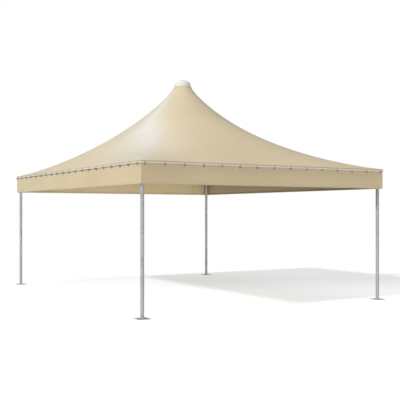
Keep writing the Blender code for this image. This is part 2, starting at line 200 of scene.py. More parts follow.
# Stays, measured from their outer pin along them, or from the pin of the fork
FORK_GAP = 0.0006  # on each side of the lug
FORK_CHEEK = 0.0050
FORK_BASE = 0.014
FORK_HALF_WIDTH = 0.0105
FORK_TIP_STEPS = 8
FORK_TURN_STEPS = 12
FORK_TIP = 0.02  # of the width's square: the least that is left at a tip
FORK_STRAIGHT = 0.6  # of the way from the pin to the base
FORK_ARCH = 0.7  # of a full half circle
FORK_EDGE = 0.28  # of a cheek's thickness: half of what the bevels leave at its edge
NECK_R = 0.0075
NECK_START = 0.017
NECK_TAPER = 0.003
PIN_R = 0.0049
PIN_HALF = 0.0105  # from the lug's middle to the underside of the head
PIN_HEAD_R = 0.0075
PIN_HEAD = 0.0030
PIN_TIP = 0.0055
PIN_HEAD_BEVEL = (0.0007, 0.0008)
PIN_TIP_BEVEL = (0.0007, 0.0010)
CLIP_R = (0.0046, 0.0072)  # inside and outside
CLIP = (0.0008, 0.0022)  # from PIN_HALF on
BAR_R = 0.006
BAR_PITCH = 0.0024
BAR_DEPTH = 0.55  # of the pitch
BAR_ROWS = 6  # to a pitch
NUT_ACROSS = 0.016
NUT_GAP = 0.0006
NUT_THICK = 0.0069
NUT_BEVEL = (0.00128, 0.00064)
BARREL_TAPER = ((0, 0), (0.0072, 0), (0.0110, 0.0070), (BARREL_R, 0.0100))  # of an end: radius and way in
FERRULE_EDGE = (0.0012, 0.0012)
FERRULE_TAPER = (0.0022, 0.0060)
FORK_END = 0.026  # where a bar or a ferrule goes into the fork's neck
NECK_ENDS = (0.029, 0.027)  # of a turnbuckle's fork and of a cable's
OVERLAP = 0.004  # of a part that goes into the next
ROPE_LAY = 0.052  # over which a strand turns once
ROPE_ROWS = 10  # to a lay
STRANDS = 6
STRAND_VALLEY = 0.72  # the rope's least radius as a share of its full one

# Patterns of the finishes, as sizes in metres that the real ones have unless a comment says otherwise
THREAD = 0.004  # of the base cloth, drawn four times as coarse as it is, so that it shows
TONE_CLOUD = 1.11
COATING_FLECK = 0.0263
SOFT_CREASE = 0.385
TOP_SHADE_REACH = (0.6, 1.7)  # down the roof from the cap: the painted shade is even to the first and gone at the second
SPANGLE = 0.011
PATINA_PATCH = 0.091
ZINC_DRAWN = 0.35  # along a tube the flakes and patches are 1 / 0.35 times as long as they are wide
ZINC_GRAIN = 0.0024
RAIL_DUST = 0.111
POWDER_RIPPLE = 0.002
PLASTIC_DUST = 0.0625
BRAID = 0.0022
BRAID_TURNS = 4.0  # yarns round the cord
PLATING_CLOUD = 0.011
PLATING_WEAR = 0.0014
WIRE = 0.009  # along the rope, from one wire to the next, and WIRES round it
WIRES = 24.0
ROPE_DULLING = 0.033
FLOOR_CLOUD = 2.0

# Studio
EYE = (-7.372, -12.505, 1.624)
EYE_TURN = math.radians(-29.51)
SENSOR = 36.0
LENS = 64.41
SHIFT = (0.0753, 0.0274)
CLIP_END = 500.0
FLOOR_HALF = 80.0
FLOOR_Z = -0.0005
FLOOR_GLOW = 0.49  # seen by the camera alone: the floor looks white but doesn't light the tent too much
# painted light towards the front, seen by the camera alone: it fades the tent's shadow on the floor there
FLOOR_NEAR_GLOW = 0.65
FLOOR_WAY = (0.4926, 0.8703, 0.0)  # from the photo's viewpoint to the back, along the floor
FLOOR_FADE = 2.6  # from the middle along that way, to where the near glow has gone
SUN = 0.93  # how bright it makes a white surface that faces it
SUN_TRAVEL = (0.845, 0.085, -0.527)
SUN_SPREAD = math.radians(4)
BOX_AIM = (-1.5, -0.9, 2.96)  # the part of the roof that mirrors the softboxes to the camera
BOX_AWAY = 15.0
BOXES = {  # azimuth and height in degrees, power, width, depth
    "strong_softbox": (14, 37, 152, 4.6, 1.4),
    "weak_softbox": (29, 42, 36, 3.5, 2.0),
}
BOX_TINT = "#8cc6ff"
FILL_PLACE = (0.0, -40.0, 0.3)
FILL_AIM = (0.0, 0.0, 1.0)
FILL_POWER = 5450.0
FILL_SIZE = (14.0, 0.5)
UNDER_PLACE = (-0.3, -2.3, 0.35)
UNDER_AIM = (0.2, 3.0, 2.1)
UNDER_POWER = 17.5
UNDER_SIZE = (3.6, 0.5)
UNDER_SPREAD = math.radians(75)
UNDER_TINT = "#fff1d6"
DIM_WAY = (0.95, -0.31, 0.0)
DIM_FROM = (0.1, 0.75)  # along that way, from where the studio dims to where it is dim
TOP_FROM = (0.3, 0.8)  # upwards, from where it turns to its top to where it has it
STUDIO_BRIGHT = 0.42
STUDIO_DIM = 0.15
STUDIO_TOP = 0.71
TOP_TINT = "#fff8f2"
STUDIO_SEEN = 1.0
WHITE = "#ffffff"


def hex_colour(code):
    """An sRGB hex code such as "#d8c9a9" as linear red, green, blue and alpha."""
    value = np.array([int(code[i:i + 2], 16) for i in (1, 3, 5)]) / 255
    linear = np.where(value <= 0.04045, value / 12.92, ((value + 0.055) / 1.055) ** 2.4)
    return (*linear.tolist(), 1.0)


def set_inputs(node, inputs):
    """Set a node's inputs: a node or an output is linked, a hex code is a colour, and the rest are values."""
    for name, value in inputs.items():
        if isinstance(value, bpy.types.Node):
            value = value.outputs[0]
        if isinstance(value, bpy.types.NodeSocket):
            node.id_data.links.new(value, node.inputs[name])
        else:
            node.inputs[name].default_value = hex_colour(value) if isinstance(value, str) else value


def add_node(tree, kind, inputs=None, **settings):
    """Add a shader node with its settings and its inputs."""
    node = tree.nodes.new("ShaderNode" + kind)
    for name, value in settings.items():
        setattr(node, name, value)
    set_inputs(node, inputs or {})
    return node


def new_material(name):
    """A material, its Principled shader, and add_node for its own tree."""
    material = bpy.data.materials.new(name)
    material.use_nodes = True
    tree = material.node_tree
    return material, tree.nodes["Principled BSDF"], partial(add_node, tree)


Shape = namedtuple("Shape", "points faces uv")


def surface(points, close_rows=False, close_columns=False, uv=None):
    """A shape from a grid of points: quads join neighbours, and wrap where a way of the grid is closed."""
    rows, columns = points.shape[:2]
    index = np.arange(rows * columns).reshape(rows, columns)
    if close_rows:
        index = np.vstack([index, index[:1]])
    if close_columns:
        index = np.hstack([index, index[:, :1]])
    faces = np.stack([index[:-1, :-1], index[1:, :-1], index[1:, 1:], index[:-1, 1:]], axis=-1).reshape(-1, 4)
    uv = np.zeros((rows, columns, 2)) if uv is None else uv
    return Shape(points.reshape(-1, 3), faces, uv.reshape(-1, 2))


def unit(ways):
    """Directions brought to length 1."""
    return ways / np.linalg.norm(ways, axis=-1, keepdims=True)


def distance_along(points):
    """How far each point lies from the first, along the steps between them."""
    return np.cumsum(np.linalg.norm(np.diff(points, axis=0, prepend=points[:1]), axis=-1), axis=0)


def full_turn(steps):
    """Even angles of a full turn, without its end."""
    return np.linspace(0, math.tau, steps, endpoint=False)


def arc(radius, angle):
    """The points (r cos a, r sin a)."""
    return radius * np.stack([np.cos(angle), np.sin(angle)], axis=-1)


def turned(profile, sides, close_rows=False, ripple=0.0):
    """Turn a profile about Z: point = (r cos a, r sin a, h), for each (r, h) and each angle a of a turn."""
    radius, height = np.array(profile, dtype=float).T[:, :, None]
    angle = full_turn(sides)
    radius = radius * np.ones(sides) + ripple
    points = np.stack([radius * np.cos(angle), radius * np.sin(angle), height + 0 * radius], axis=-1)
    return surface(points, close_rows, close_columns=True)


def block(radius, low, high, low_bevel, high_bevel):
    """A profile from the axis out, up and back in. Each bevel of its two edges is a way in and a way up."""
    return [(0, low), (radius - low_bevel[0], low), (radius, low + low_bevel[1]),
            (radius, high - high_bevel[1]), (radius - high_bevel[0], high), (0, high)]


def bar(radius, around, height, uv=None):
    """A bar about Z, closed at its ends: point = (r cos a, r sin a, h) for the radius r at each a and h."""
    points = np.stack([radius * np.cos(around), radius * np.sin(around), height + 0 * radius], axis=-1)
    ends = points[[0, -1]] * (0, 0, 1)
    return surface(np.concatenate([ends[:1], points, ends[1:]]), close_columns=True, uv=uv)


def carried(path, section, square, close_rows=False, wide=None):
    """Carry a section of points (a, b) along a path: path + wide * a * square + b * (tangent x square).

    square is a direction at right angles to the whole path. An open path gets a pole at each end.
    """
    path = np.asarray(path, dtype=float)
    round_about = np.roll(path, -1, axis=0) - np.roll(path, 1, axis=0)
    tangent = round_about if close_rows else np.gradient(path, axis=0)
    other = unit(np.cross(tangent, square))
    a, b = np.asarray(section).T
    wide = np.ones(len(path)) if wide is None else wide
    points = path[:, None] + (wide[:, None] * a)[..., None] * np.asarray(square) + b[:, None] * other[:, None]
    run = distance_along(path)
    if not close_rows:
        ends = np.repeat(path[[0, -1], None], len(a), axis=1)
        points = np.concatenate([ends[:1], points, ends[1:]])
        run = np.concatenate([run[:1], run, run[-1:]])
    round_it = np.arange(len(a)) / len(a) + 0 * run[:, None]
    uv = np.stack([round_it, run[:, None] + 0 * round_it], axis=-1)
    return surface(points, close_rows, close_columns=True, uv=uv)


def stood(origin, axis, spin=0.0):
    """The 4 x 4 placement that stands +Z along an axis at an origin, turned about it by spin."""
    z = unit(np.array(axis, dtype=float))
    upright = abs(z[2]) > 0.99
    x = np.array((1.0, 0.0, 0.0)) if upright else unit(np.cross((0.0, 0.0, 1.0), z))
    y = np.cross(z, x)
    place = np.eye(4)
    place[:3, 0] = x * math.cos(spin) + y * math.sin(spin)
    place[:3, 1] = y * math.cos(spin) - x * math.sin(spin)
    place[:3, 2] = z
    place[:3, 3] = origin
    return place


def copies(shape, places):
    """The shape once for each 4 x 4 placement, as one shape."""
    places = np.asarray(places)
    points = np.einsum("mij,nj->mni", places[:, :3, :3], shape.points) + places[:, None, :3, 3]
    shift = np.arange(len(places)) * len(shape.points)
    faces = shape.faces[None] + shift[:, None, None]
    return Shape(points.reshape(-1, 3), faces.reshape(-1, 4), np.tile(shape.uv, (len(places), 1)))


def add_piece(name, shapes, material, stands_for=(), closed=True):
    """One mesh object of the shapes, in metres at the origin, that rides on the tent.

    Closed shapes have their poles merged and their normals turned outwards.
    """
    starts = np.cumsum([0] + [len(shape.points) for shape in shapes])
    points = np.concatenate([shape.points for shape in shapes])
    faces = np.concatenate([shape.faces + start for shape, start in zip(shapes, starts)])
    uv = np.concatenate([shape.uv for shape in shapes])
    mesh = bpy.data.meshes.new(name)
    mesh.vertices.add(len(points))
    mesh.vertices.foreach_set("co", points.ravel())
    mesh.loops.add(faces.size)
    mesh.loops.foreach_set("vertex_index", faces.ravel())
    mesh.polygons.add(len(faces))
    mesh.polygons.foreach_set("loop_start", np.arange(0, faces.size, 4))
    mesh.update(calc_edges=True)
    mesh.uv_layers.new(name="UVMap").data.foreach_set("uv", uv[faces.ravel()].ravel())
    if closed:
        bm = bmesh.new()
        bm.from_mesh(mesh)
        bmesh.ops.remove_doubles(bm, verts=bm.verts, dist=MERGE)
        bmesh.ops.recalc_face_normals(bm, faces=bm.faces)
        bm.to_mesh(mesh)
        bm.free()
    mesh.materials.append(material)
    mesh.shade_smooth()
    mesh.set_sharp_from_angle(angle=SHARP)
    piece = bpy.data.objects.new(name, mesh)
    bpy.context.scene.collection.objects.link(piece)
    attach(piece, BODY)
    if stands_for:
        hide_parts(*stands_for)
    return piece


def give_thickness(piece, thickness):
    """Thicken a sheet inwards from its outer face."""
    solidify = piece.modifiers.new("thickness", "SOLIDIFY")
    solidify.thickness = thickness
    solidify.offset = -1
    solidify.use_even_offset = True


def side_frames():
    """For each side: the middle of the valance's outer face, the ways along it and out, half its length."""
    return {
        "front": (np.array((0, -HALF_Y)), np.array((1, 0)), np.array((0, -1)), HALF_X),
        "right": (np.array((HALF_X, 0)), np.array((0, 1)), np.array((1, 0)), HALF_Y),
        "back": (np.array((0, HALF_Y)), np.array((-1, 0)), np.array((0, 1)), HALF_X),
        "left": (np.array((-HALF_X, 0)), np.array((0, -1)), np.array((-1, 0)), HALF_Y),
    }


def eave_points(turn):
    """The eave's oblong as complex numbers: each quarter turn runs evenly along one side, front first."""
    side = np.floor(turn * 4).astype(int) % 4
    step = (turn * 4) % 1
    start = np.array([-1 - 1j, 1 - 1j, 1 + 1j, -1 + 1j])
    start = start.real * HALF_X + 1j * start.imag * HALF_Y
    return start[side] * (1 - step) + start[(side + 1) % 4] * step


def roof_points(turn, down):
    """Points of the roof's outer face at shares of a turn, and at shares of the way down.

    The eave's oblong and the top ring are sums of turning arrows (harmonics), and each arrow fades from one
    to the other as sinh(fade * distance) / sinh(fade). Height climbs evenly, with a bulge added.
    """
    even = np.arange(2 * HARMONICS) / (2 * HARMONICS)
    eave = eave_points(even)
    harmonic = np.fft.fftfreq(len(even)) * len(even)
    fade = FADE_CORNER * np.abs(harmonic)
    fade[harmonic == 1] = FADE_SIZE
    fade[harmonic == -1] = FADE_OBLONG
    fade = np.maximum(fade, NO_FADE)

    def share(distance):
        return np.exp(fade * (distance - 1)) * -np.expm1(-2 * fade * distance) / -np.expm1(-2 * fade)

    top = TOP_RING_R * eave / np.abs(eave)
    strength = share(down) * np.fft.fft(eave) + share(1 - down) * np.fft.fft(top)
    ring = np.stack([np.exp(2j * np.pi * row[:, None] * harmonic) @ part / len(even)
                     for row, part in zip(turn, strength)])
    ring[-1] = eave_points(turn[-1])
    middle = 1 - 2 * down
    climb = (1 - down) + down * (1 - down) * (LIFT[0] + LIFT[1] * middle + LIFT[2] * middle**2)
    height = EAVE_Z + (TOP_RING_Z - EAVE_Z) * climb + 0 * turn
    return np.stack([ring.real, ring.imag, height], axis=-1)


def roof_turns(down):
    """For each ring, the columns' shares of a turn: each weld lap keeps its width all the way up.

    A column close to each bend of a lap keeps the shading of the wide faces next to it even.
    """
    gores = len(GORES)
    even = np.linspace(0, 1, gores * GORE_COLUMNS + 1) * np.ones_like(down)
    rough = roof_points(even, down)
    length = np.linalg.norm(np.diff(rough, axis=1), axis=-1)
    length = length.reshape(len(down), gores, GORE_COLUMNS).sum(axis=2)
    lap = WELD_HALF / length
    foot = (WELD_HALF + WELD_RAMP) / length
    hold = WELD_RAMP / length
    free = 1 - 2 * (foot + hold)
    spread = (foot + hold)[..., None] + free[..., None] * np.linspace(0, 1, GORE_COLUMNS)
    near = np.stack([0 * lap, lap - hold, lap, foot], axis=-1)
    within = np.concatenate([near, spread, 1 - near[..., :0:-1]], axis=-1)
    turn = (np.arange(gores)[:, None] + within) / gores
    from_weld = np.minimum(within, 1 - within) * length[..., None]
    return turn.reshape(len(down), -1), from_weld.reshape(len(down), -1)


def eave_ways(eave):
    """For each point of the eave's oblong, the way out of the side that it is on, or of both at a corner."""
    on_side = np.abs(np.abs(eave[:, :2]) - (HALF_X, HALF_Y)) < SNAP
    return np.concatenate([on_side * np.sign(eave[:, :2]), np.zeros((len(eave), 1))], axis=-1)


def build_roof(material):
    """The roof sheet: its rings, raised at the welds, and at the eave a roll round the edge cord.

    The roll is an arc: point = centre + EDGE_R * (cos a * up + sin a * out), from the roof's own slope on.
    """
    down = np.linspace(0, 1, ROOF_RINGS + 1)[:, None]
    turn, from_weld = roof_turns(down)
    points = roof_points(turn, down)
    downhill = np.gradient(points, axis=0)
    sideways = np.roll(points, -1, axis=1) - np.roll(points, 1, axis=1)
    raised = from_weld < WELD_HALF + WELD_RAMP / 2
    raised[-1] = False
    points = points + WELD_RISE * raised[..., None] * unit(np.cross(downhill, sideways))

    eave = points[-1]
    out = eave_ways(eave)
    run = ((eave - points[-2]) * out).sum(axis=-1) / (out * out).sum(axis=-1)
    slope = np.arctan2(points[-2, :, 2] - eave[:, 2], run)
    up = np.array((0.0, 0.0, 1.0))
    centre = eave - EDGE_R * (np.cos(slope)[:, None] * up + np.sin(slope)[:, None] * out)
    angle = slope + (EDGE_TURN - slope) * np.linspace(0, 1, EDGE_STEPS + 1)[1:, None]
    roll = centre + EDGE_R * (np.cos(angle)[..., None] * up + np.sin(angle)[..., None] * out)

    collar = [points[0] * (r / TOP_RING_R, r / TOP_RING_R, 1) + (0, 0, rise) for r, rise in COLLAR]
    slant = distance_along(points)
    v = np.concatenate([[r - TOP_RING_R + 0 * slant[0] for r, rise in COLLAR], slant,
                        slant[-1] + EDGE_R * (angle - slope)])
    u = np.concatenate([np.repeat(from_weld[:1], len(COLLAR), axis=0), from_weld,
                        np.repeat(from_weld[-1:], EDGE_STEPS, axis=0)])
    sheet = surface(np.concatenate([collar, points, roll]), close_columns=True, uv=np.stack([u, v], axis=-1))
    roof = add_piece("roof_canopy", [sheet], material, GORES, closed=False)
    give_thickness(roof, MEMBRANE)


def tie_places(side, half):
    """How far along a side its ties stand, from the side's middle."""
    return np.linspace(TIE_INSET - half, half - TIE_INSET, TIE_COUNT[side])


def valance_run(side, half):
    """Places along a side, up to the corner folds: both edges of each eyelet's cell, and even steps between.

    Also whether each step from a place to the next is a cell.
    """
    cells = (tie_places(side, half)[:, None] + EYELET_CELL * np.array((-1, 1))).ravel()
    knots = np.concatenate([[CORNER_R - half], cells, [half - CORNER_R]])
    steps = np.where(np.arange(len(knots) - 1) % 2 == 0, VALANCE_STEPS, 1)
    where = np.repeat(np.arange(len(steps)), steps) + np.concatenate([np.arange(n) / n for n in steps])
    return np.interp(where, np.arange(len(knots)), knots), np.repeat(np.arange(len(steps)) % 2 == 1, steps)


def valance_line():
    """The valance's line from above, side by side, each with the fold of the corner at its end.

    Gives the points, the ways out, how far each lies between two ties as a share, its distance from a corner,
    and whether the step after it is an eyelet's cell.
    """
    points, outs, ties, corners, cells = [], [], [], [], []
    fold = np.linspace(0, math.pi / 2, FOLD_STEPS, endpoint=False)
    for side, (middle, along, out, half) in side_frames().items():
        run, is_cell = valance_run(side, half)
        spacing = np.diff(tie_places(side, half)[:2])[0]
        points.append(middle + run[:, None] * along)
        outs.append(np.repeat(out[None], len(run), axis=0))
        ties.append(((run - tie_places(side, half)[0]) / spacing) % 1)
        corners.append(half - np.abs(run))
        cells.append(is_cell)
        turned_out = arc(1, fold) @ [out, along]
        points.append(middle + along * (half - CORNER_R) - out * CORNER_R + CORNER_R * turned_out)
        outs.append(turned_out)
        ties.append(np.zeros(FOLD_STEPS))
        corners.append(np.zeros(FOLD_STEPS))
        cells.append(np.zeros(FOLD_STEPS, dtype=bool))
    return [np.concatenate(values) for values in (points, outs, ties, corners, cells)]


def valance_profile():
    """The valance from top to hem, round the hem's fold and up inside: heights and ways out."""
    fold = np.linspace(0, math.pi, FOLD_STEPS + 1)
    hem_top = HEM_Z + HEM_DEPTH
    height = np.concatenate([
        [EAVE_Z - VALANCE_TOP_DROP, EYELET_Z + EYELET_CELL, EYELET_Z - EYELET_CELL],
        np.linspace(EYELET_Z - 2 * EYELET_CELL, hem_top + 2 * WELD_RAMP, VALANCE_ROWS),
        [hem_top + WELD_RAMP, hem_top, hem_top - WELD_RAMP, hem_top - 2 * WELD_RAMP],
        HEM_Z + HEM_R * (1 - np.sin(fold)),
        [hem_top],
    ])
    way_out = np.zeros_like(height)
    way_out[height == hem_top] = -WELD_RISE
    way_out[-FOLD_STEPS - 2:-1] = HEM_R * (np.cos(fold) - 1)
    way_out[-1] = -2 * HEM_R
    return height, way_out


def build_valance(material):
    """The valance: its line seen from above, carried down its profile, with a sway and a slack between ties.

    point = line + out * (profile + sway + slack). Sway is a sum of sines along the line that grows from
    nothing at the rail to the full amount at the hem. Slack is (1 - cos) from tie to tie, and fades above and
    below the rail.
    """
    line, out, tie, corner, is_cell = valance_line()
    height, way_out = valance_profile()
    run = distance_along(line)
    phase = math.tau * run / run[-1]
    sway = sum(share * np.sin(waves * phase + shift) for waves, share, shift in SWAY_WAVES)
    sway = sway * np.clip(corner / SWAY_FREE, 0, 1)
    fallen = np.clip((RAIL_Z - RAIL_R - height) / (RAIL_Z - RAIL_R - HEM_Z), 0, 1)[:, None]
    slack = -SLACK * (1 - np.cos(math.tau * tie)) / 2 * (corner > 0)
    fade = np.exp(-((height - RAIL_Z) / SLACK_FADE) ** 2)[:, None]
    push = way_out[:, None] + SWAY * sway * fallen + slack * fade
    level = np.repeat(height[:, None, None], len(line), axis=1)
    grid = np.concatenate([line + out * push[..., None], level], axis=-1)
    uv = np.stack([corner + 0 * push, height[:, None] - HEM_Z + 0 * push], axis=-1)
    shape = surface(grid, close_columns=True, uv=uv)
    cell = np.zeros((len(height) - 1, len(line)), dtype=bool)
    cell[EYELET_ROW] = is_cell
    shape = shape._replace(faces=shape.faces[~cell.ravel()])
    valance = add_piece("valance", [shape], material, VALANCES, closed=False)
    give_thickness(valance, MEMBRANE)


def oblong_line(grow, radius):
    """The tent's oblong from above, grown outwards, with rounded corners: (n, 3) points at Z 0."""
    fold = np.linspace(0, math.pi / 2, FOLD_STEPS + 1)
    points = []
    for middle, along, out, half in side_frames().values():
        reach = half + grow - radius
        run = np.linspace(-reach, reach, RAIL_STEPS, endpoint=False)[:, None]
        points.append(middle + out * grow + run * along)
        points.append(middle + along * reach + out * (grow - radius) + arc(radius, fold) @ [out, along])
    line = np.concatenate(points)
    return np.concatenate([line, np.zeros((len(line), 1))], axis=-1)


def build_rails(material):
    """The rail: a circle carried round the tent outside the valance."""
    line = oblong_line(RAIL_OUT, CORNER_R + RAIL_OUT) + (0, 0, RAIL_Z)
    rail = carried(line, arc(RAIL_R, full_turn(RAIL_SIDES)), (0, 0, 1), close_rows=True)
    add_piece("rails", [rail], material, RAILS)


def tie_frames():
    """A placement for each tie, on the valance's outer face at Z 0: X along the side, -Y out, Z up."""
    places = []
    for side, (middle, along, out, half) in side_frames().items():
        for run in tie_places(side, half):
            place = np.eye(4)
            place[:2, 0] = along
            place[:2, 1] = -out
            place[:2, 3] = middle + run * along
            places.append(place)
    return places


def build_ties(cord, ball, metal):
    """Loops, balls and eyelets of the ties.

    Each strand runs from the eyelet round a circle about the rail, point = rail + LOOP_OVER * (sin a, cos a),
    and on into the ball. A ball is a turned half circle with a small collar where the strands go in. An
    eyelet is a turned ring with a rolled rim.
    """
    places = tie_frames()
    over = arc(LOOP_OVER, math.pi / 2 - LOOP_TURN) + (RAIL_OUT, RAIL_Z)
    route = np.concatenate([LOOP_START + (0, EYELET_Z), over, LOOP_END + (BALL_OUT, BALL_Z + BALL_R)])
    out, height = route.T
    apart = np.interp(np.arange(len(route)), *LOOP_APART)
    section = arc(LOOP_R, full_turn(CORD_SIDES))
    strands = [carried(np.stack([sign * apart, -out, height], axis=-1), section, (1, 0, 0))
               for sign in (-1, 1)]
    add_piece("tie_loops", [copies(strand, places) for strand in strands], cord)

    half_turn = np.linspace(math.pi / 2, -math.pi / 2, BALL_STEPS + 1)[2:]
    profile = np.concatenate([np.array(BALL_COLLAR) + (0, BALL_R), arc(BALL_R, half_turn)])
    lift = np.eye(4)
    lift[1:3, 3] = -BALL_OUT, BALL_Z
    add_piece("tie_balls", [copies(turned(profile, SMALL_SIDES), [place @ lift for place in places])], ball)

    rim = arc(1, full_turn(RIM_SIDES)) * ((EYELET_R - EYELET_HOLE_R) / 2, EYELET_RISE)
    ring = turned(rim + ((EYELET_R + EYELET_HOLE_R) / 2, -EYELET_SUNK), SMALL_SIDES, close_rows=True)
    face_out = stood((0, 0, EYELET_Z), (0, -1, 0))
    add_piece("eyelets", [copies(ring, [place @ face_out for place in places])], metal)


def build_cap(material):
    """The cap: a turned dome, r = R cos(a)^(2/n), h = H sin(a)^(2/n), with a rolled bead round its rim."""
    base = TOP_RING_Z + CAP_LIFT

    def dome(radius, height, angles):
        power = 2 / CAP_FULLNESS
        return np.stack([radius * np.cos(angles) ** power, base + height * np.sin(angles) ** power], axis=-1)

    quarter = np.linspace(0, math.pi / 2, CAP_STEPS)
    height = CAP_TOP_Z - base
    outer = dome(TOP_RING_R - CAP_BEAD, height, quarter[:0:-1])
    inner = dome(TOP_RING_R - CAP_BEAD - CAP_WALL, height - CAP_WALL, quarter)
    bead = np.linspace(*CAP_BEAD_TURN, CAP_BEAD_STEPS + 1)[1:]
    rolled = arc(CAP_BEAD, bead) * (CAP_BEAD_STRETCH, 1) + (TOP_RING_R - CAP_BEAD, base + CAP_BEAD)
    shell = turned(np.concatenate([outer, rolled, inner]), CAP_SIDES)
    add_piece("domed_cap", [shell], material, ["cap"])


def build_tubes(materials):
    """Posts, beams and mast: round tubes with a bore, along the longest side of each solid's box."""
    for node in [f"post_{name}" for name in CORNERS] + [f"eave_beam_{side}" for side in SIDES] + ["mast"]:
        low, high = np.array(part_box(node))
        axis = int(np.argmax(high - low))
        half = (high - low)[axis] / 2
        profile = [(TUBE_R, -half), (TUBE_R, half), (TUBE_R - TUBE_WALL, half), (TUBE_R - TUBE_WALL, -half)]
        place = stood((low + high) / 2, np.eye(3)[axis])
        tube = copies(turned(profile, TUBE_SIDES, close_rows=True), [place])
        add_piece(f"round_{node}", [tube], materials[axis], [node])


def bolt():
    """A washer, a hexagonal head and a shank, turned about Z, with the washer's seat at height 0."""
    washer = block(WASHER_R, 0, WASHER_THICK, WASHER_BEVEL, WASHER_BEVEL)
    head = block(BOLT_HEAD_R, WASHER_THICK, BOLT_HEAD_TOP, *HEAD_BEVELS)
    shank = [(0, SHANK[0]), (BOLT_R, SHANK[0]), (BOLT_R, SHANK[1]), (0, SHANK[1])]
    return [turned(washer, WASHER_SIDES), turned(head, HEXAGON), turned(shank, SHANK_SIDES)]


def build_bolts(material):
    """Bolts that hold the beams in their sockets, and the mast in its foot and head."""
    seats = []
    for sign_x, sign_y in CORNERS.values():
        post = np.array((sign_x * POST_X, sign_y * POST_Y, BEAM_Z))
        seats.append((post - (sign_x * SOCKET_BOLT, 0, SOCKET_R), (0, 0, -1)))
        seats.append((post - (0, sign_y * SOCKET_BOLT, SOCKET_R), (0, 0, -1)))
    foot_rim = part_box("mast_foot")[1][2]
    head_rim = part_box("mast_head")[0][2]
    for angle in (MAST_BOLT_ANGLE, MAST_BOLT_ANGLE + math.pi):
        out = np.array((math.cos(angle), math.sin(angle), 0))
        seats.append((out * SLEEVE_R + (0, 0, foot_rim - MAST_BOLT), out))
        seats.append((out * SLEEVE_R + (0, 0, head_rim + MAST_BOLT), out))
    places = [stood(seat, way, spin=BOLT_TURN * number) for number, (seat, way) in enumerate(seats)]
    add_piece("bolts", [copies(shape, places) for shape in bolt()], material)


def build_welds(material):
    """Weld beads: a circle turned round the foot of each post, r = R + ripple * cos(60 a)."""
    bead = arc(BEAD_R, full_turn(BEAD_SIDES)) + (TUBE_R + BEAD_OUT, 0)
    ripple = BEAD_RIPPLE * np.cos(BEAD_RIPPLES * full_turn(BEAD_STEPS))
    shape = turned(bead, BEAD_STEPS, close_rows=True, ripple=ripple)
    places = [stood((x * POST_X, y * POST_Y, PLATE_TOP + BEAD_LIFT), (0, 0, 1)) for x, y in CORNERS.values()]
    add_piece("foot_welds", [copies(shape, places)], material)


def stay_frames():
    """For each stay: a placement with Z from the outer pin to the inner pin, and X along the pins."""
    places = []
    for sign_x, sign_y in CORNERS.values():
        outward = np.array((sign_x * POST_X, sign_y * POST_Y, 0)) / POST_AWAY
        outer = outward * (POST_AWAY - OUTER_PIN[0]) + (0, 0, OUTER_PIN[1])
        inner = outward * INNER_PIN[0] + (0, 0, INNER_PIN[1])
        places.append(stood(outer, inner - outer))
    return places


def fork_jaw():
    """A fork about its pin: a strip carried along a U, sqrt(r^2 - x^2) in half width round its tips."""
    tip = np.linspace(-1, 0, FORK_TIP_STEPS + 1)
    turn = np.linspace(0, math.pi, FORK_TURN_STEPS + 1)
    centre = LUG_THICK / 2 + FORK_GAP + FORK_CHEEK / 2
    up = np.concatenate([tip * FORK_HALF_WIDTH, [FORK_BASE * FORK_STRAIGHT]])
    x = np.concatenate([centre + 0 * up, centre * np.cos(turn), -centre + 0 * up])
    z = np.concatenate([up, FORK_BASE + FORK_ARCH * centre * np.sin(turn), up[::-1]])
    narrowing = np.concatenate([np.sqrt(np.maximum(1 - tip**2, FORK_TIP)), [1]])
    width = FORK_HALF_WIDTH * np.concatenate([narrowing, 1 + 0 * turn, narrowing[::-1]])
    flat = 1 - FORK_EDGE / 2
    half = np.array([(1, -FORK_EDGE), (1, FORK_EDGE), (flat, 0.5), (-flat, 0.5)])
    section = np.concatenate([half, -half]) * (1, FORK_CHEEK)
    return carried(np.stack([x, 0 * x, z], axis=-1), section, (0, 1, 0), wide=width)


def pin():
    """A clevis pin along X: a turned head at one end, and a turned clip ring at the other."""
    head = -PIN_HALF - PIN_HEAD
    tip = PIN_HALF + PIN_TIP
    shape = turned([(0, head), (PIN_HEAD_R - PIN_HEAD_BEVEL[0], head), (PIN_HEAD_R, head + PIN_HEAD_BEVEL[1]),
                    (PIN_HEAD_R, -PIN_HALF), (PIN_R, -PIN_HALF), (PIN_R, tip - PIN_TIP_BEVEL[1]),
                    (PIN_R - PIN_TIP_BEVEL[0], tip), (0, tip)], SMALL_SIDES)
    (inside, outside), (low, high) = CLIP_R, np.add(CLIP, PIN_HALF)
    ring = [(inside, low), (outside, low), (outside, high), (inside, high)]
    clip = turned(ring, SMALL_SIDES, close_rows=True)
    across = stood((0, 0, 0), (1, 0, 0))
    return [copies(shape, [across]), copies(clip, [across])]


def fork_end(neck_end):
    """A fork with its pin, and the turned neck that closes it."""
    neck = turned([(0, NECK_START), (NECK_R, NECK_START), (NECK_R, neck_end - NECK_TAPER),
                   (BAR_R, neck_end), (0, neck_end)], SMALL_SIDES)
    return [fork_jaw(), *pin(), neck]


def threaded(low, high):
    """A threaded bar, closed at both ends.

    Its ridges lie on a helix: r = R - depth * |2 s - 1|, with s the rest of h / pitch - a / turn over 1.
    """
    rows = int((high - low) / BAR_PITCH * BAR_ROWS)
    height = np.linspace(low, high, rows + 1)[:, None]
    angle = full_turn(BAR_SIDES)
    saw = (height / BAR_PITCH - angle / math.tau) % 1
    return bar(BAR_R - BAR_DEPTH * BAR_PITCH * np.abs(2 * saw - 1), angle, height)


def nut(low):
    """A hexagonal nut about Z with chamfered corners."""
    return turned(block(NUT_ACROSS / math.sqrt(3), low, low + NUT_THICK, NUT_BEVEL, NUT_BEVEL), HEXAGON)


